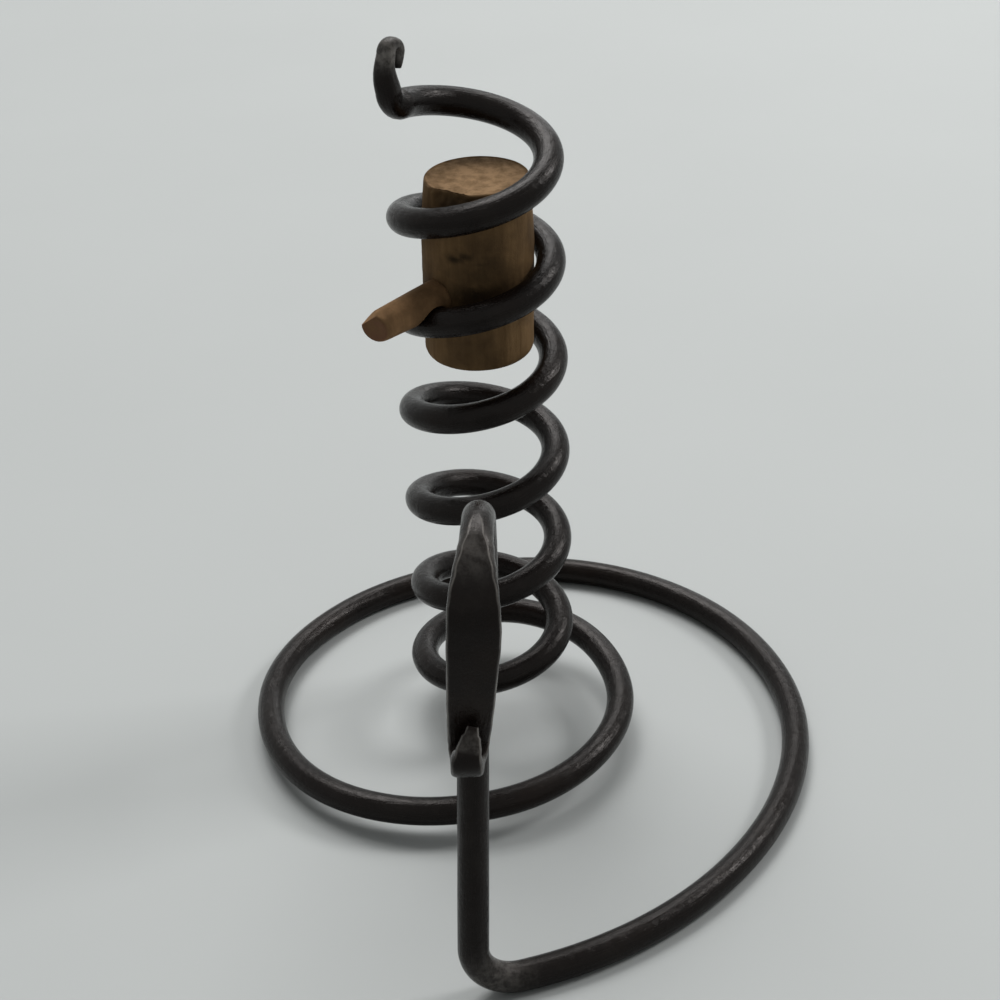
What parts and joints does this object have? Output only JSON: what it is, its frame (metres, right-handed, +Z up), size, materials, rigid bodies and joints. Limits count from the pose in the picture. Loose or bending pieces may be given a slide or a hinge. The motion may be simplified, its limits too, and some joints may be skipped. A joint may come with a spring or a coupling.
{
  "type": "courting candlestick",
  "caption": "Forged iron spiral candlestick on a looped base, with a finger-loop handle and a wooden plug that climbs inside the coil when its peg is turned.",
  "frame": {"origin": "on the axis of the coil, at table level", "axes": "+Z up along the axis of the coil, -Y towards the handle"},
  "size_m": [0.127, 0.1719, 0.1608],
  "materials": {
    "iron": "forged and blackened, worn smooth, satin",
    "plug_wood": "bare, darkened by age, waxed by candles",
    "peg_wood": "bare, worn smooth by fingers"
  },
  "bodies": {
    "iron_rod": {"top_hook": "iron", "spiral_column": "iron", "base_inner_loop": "iron", "base_outer_loop": "iron", "handle_riser": "iron", "finger_loop": "iron"},
    "lift": {"plug_foot": "plug_wood"},
    "turning_plug": {"candle_plug": "plug_wood", "turning_peg": "peg_wood"}
  },
  "joints": [
    {"name": "lift_rise", "type": "slide", "parent": "iron_rod", "child": "lift", "axis": [0, 0, 1], "range_m": [-0.0858, 0.0395]},
    {"name": "peg_turn", "type": "hinge", "parent": "lift", "child": "turning_plug", "pos_m": [0, 0, 0.11], "axis": [0, 0, 1], "range_deg": [-1370, 630]}
  ],
  "couplings": [
    {"joint": "lift_rise", "follows": "peg_turn", "m_per_rad": 0.0035842}
  ]
}
